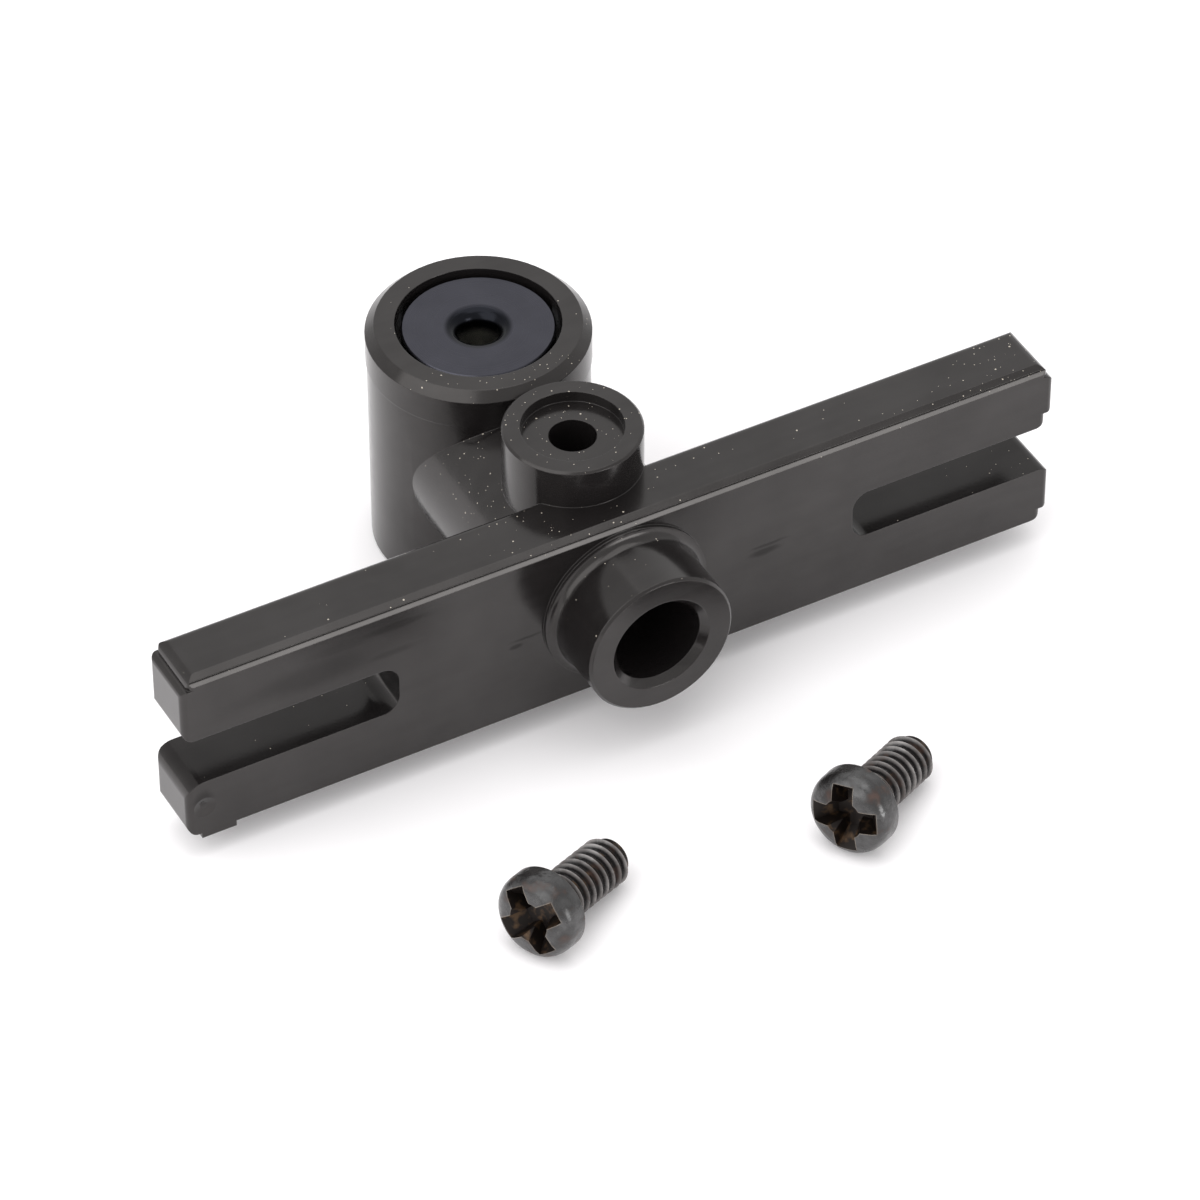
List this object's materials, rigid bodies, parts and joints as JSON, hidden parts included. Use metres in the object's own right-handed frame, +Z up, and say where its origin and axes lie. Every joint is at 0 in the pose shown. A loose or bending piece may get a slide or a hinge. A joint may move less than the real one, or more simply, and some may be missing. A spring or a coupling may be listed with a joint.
{
  "type": "model helicopter rotor hub",
  "caption": "Moulded rotor hub of a model helicopter: forked crossbar, shaft sleeve with clamp boss, and a cup with a turning spindle, with its loose screws.",
  "frame": {"origin": "on the shaft bore's axis, in the plane of the crossbar's front face", "axes": "+X along the crossbar to the right, +Y to the back towards the cup, +Z up along the spindle"},
  "size_m": [0.0366, 0.0279, 0.0105],
  "materials": {
    "nylon": "semi-gloss black nylon",
    "blackened_steel": "blackened turned steel",
    "bearing_steel": "ground bearing steel",
    "cage_brass": "plain brass",
    "black_oxide": "black oxide"
  },
  "bodies": {
    "hub": {"hub_moulding": "nylon", "upper_outer_ring": "bearing_steel", "upper_top_shield": "bearing_steel", "upper_bottom_shield": "bearing_steel", "lower_outer_ring": "bearing_steel", "lower_top_shield": "bearing_steel", "lower_bottom_shield": "bearing_steel"},
    "spindle": {"spindle": "blackened_steel", "upper_shim": "bearing_steel", "bearing_spacer": "bearing_steel", "lower_shim": "bearing_steel", "retaining_clip": "bearing_steel", "upper_inner_ring": "bearing_steel", "lower_inner_ring": "bearing_steel"},
    "upper_ball_cage": {"upper_cage": "cage_brass", "upper_balls": "bearing_steel"},
    "lower_ball_cage": {"lower_cage": "cage_brass", "lower_balls": "bearing_steel"},
    "clamp_screw": {"clamp_screw": "black_oxide"},
    "spindle_screw": {"spindle_screw": "black_oxide"}
  },
  "joints": [
    {"name": "spindle_spin", "type": "hinge", "parent": "hub", "child": "spindle", "pos_m": [0, 0.01135, 0], "axis": [0, 0, 1], "continuous": true},
    {"name": "upper_cage_spin", "type": "hinge", "parent": "hub", "child": "upper_ball_cage", "pos_m": [0, 0.01135, 0], "axis": [0, 0, 1], "continuous": true},
    {"name": "lower_cage_spin", "type": "hinge", "parent": "hub", "child": "lower_ball_cage", "pos_m": [0, 0.01135, 0], "axis": [0, 0, 1], "continuous": true},
    {"name": "clamp_screw_lift", "type": "slide", "parent": "hub", "child": "clamp_screw", "axis": [0, 0, 1], "range_m": [0, 0.012]},
    {"name": "spindle_screw_lift", "type": "slide", "parent": "hub", "child": "spindle_screw", "axis": [0, 0, 1], "range_m": [0, 0.012]}
  ],
  "couplings": [
    {"joint": "upper_cage_spin", "follows": "spindle_spin", "ratio": 0.4111},
    {"joint": "lower_cage_spin", "follows": "spindle_spin", "ratio": 0.4111}
  ]
}
